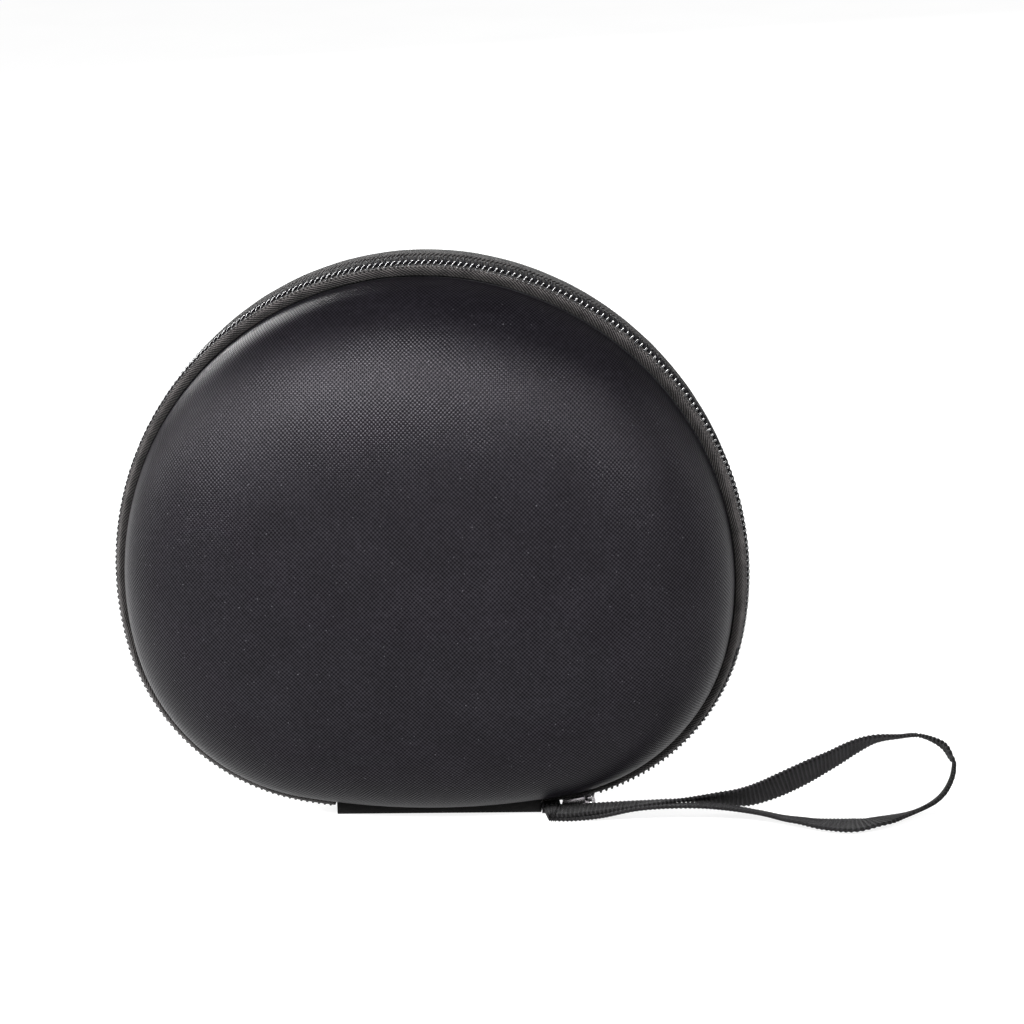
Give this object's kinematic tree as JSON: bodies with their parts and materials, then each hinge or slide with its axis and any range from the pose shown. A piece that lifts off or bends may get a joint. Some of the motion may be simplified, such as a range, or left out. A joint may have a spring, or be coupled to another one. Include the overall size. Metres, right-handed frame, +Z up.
{
  "type": "headphone carrying case",
  "caption": "Round-topped hard clamshell case with knitted fabric covers, a coil zip round its rim, a fabric hinge to stand on and a wrist strap.",
  "frame": {"origin": "under the middle of the hinge strip, on the surface that the case stands on, in the zip's parting plane", "axes": "+Z up to the rounded top, +X towards the wrist strap, the lid on the -Y side"},
  "size_m": [0.2146, 0.0708, 0.1461],
  "materials": {
    "knit": "near-black plain weave with fine lint",
    "foam": "moulded closed-cell foam",
    "lining": "brushed knit",
    "tape": "twill woven tape",
    "nylon": "glossy monofilament",
    "net": "open net",
    "webbing": "ribbed flat webbing",
    "nickel": "bright nickel plate, brushed along the sides"
  },
  "bodies": {
    "rear_half": {"rear_shell": "foam", "rear_cover": "knit", "rear_lining": "lining", "rear_rim_binding": "tape", "rear_zip_tape": "tape", "rear_zip_coil": "nylon", "hinge_strip_rear": "tape"},
    "lid": {"lid_shell": "foam", "lid_cover": "knit", "lid_lining": "lining", "lid_rim_binding": "tape", "lid_zip_tape": "tape", "lid_zip_coil": "nylon", "hinge_strip_lid": "tape", "pocket_net": "net", "pocket_elastic": "tape", "strap_anchor": "webbing", "wrist_strap": "webbing"},
    "slider": {"zip_slider": "nickel"},
    "pull": {"zip_pull": "nickel"}
  },
  "joints": [
    {"name": "lid_hinge", "type": "hinge", "parent": "rear_half", "child": "lid", "pos_m": [0, 0, -0.0003], "axis": [1, 0, 0], "range_deg": [0, 180]},
    {"name": "slider_travel", "type": "hinge", "parent": "rear_half", "child": "slider", "pos_m": [0.02533, 0, 0.05723], "axis": [0, -1, 0], "range_deg": [0, 58]},
    {"name": "pull_swing", "type": "hinge", "parent": "slider", "child": "pull", "pos_m": [0.0389, 0, 0.00183], "axis": [0, -1, 0], "range_deg": [0, 150]}
  ]
}
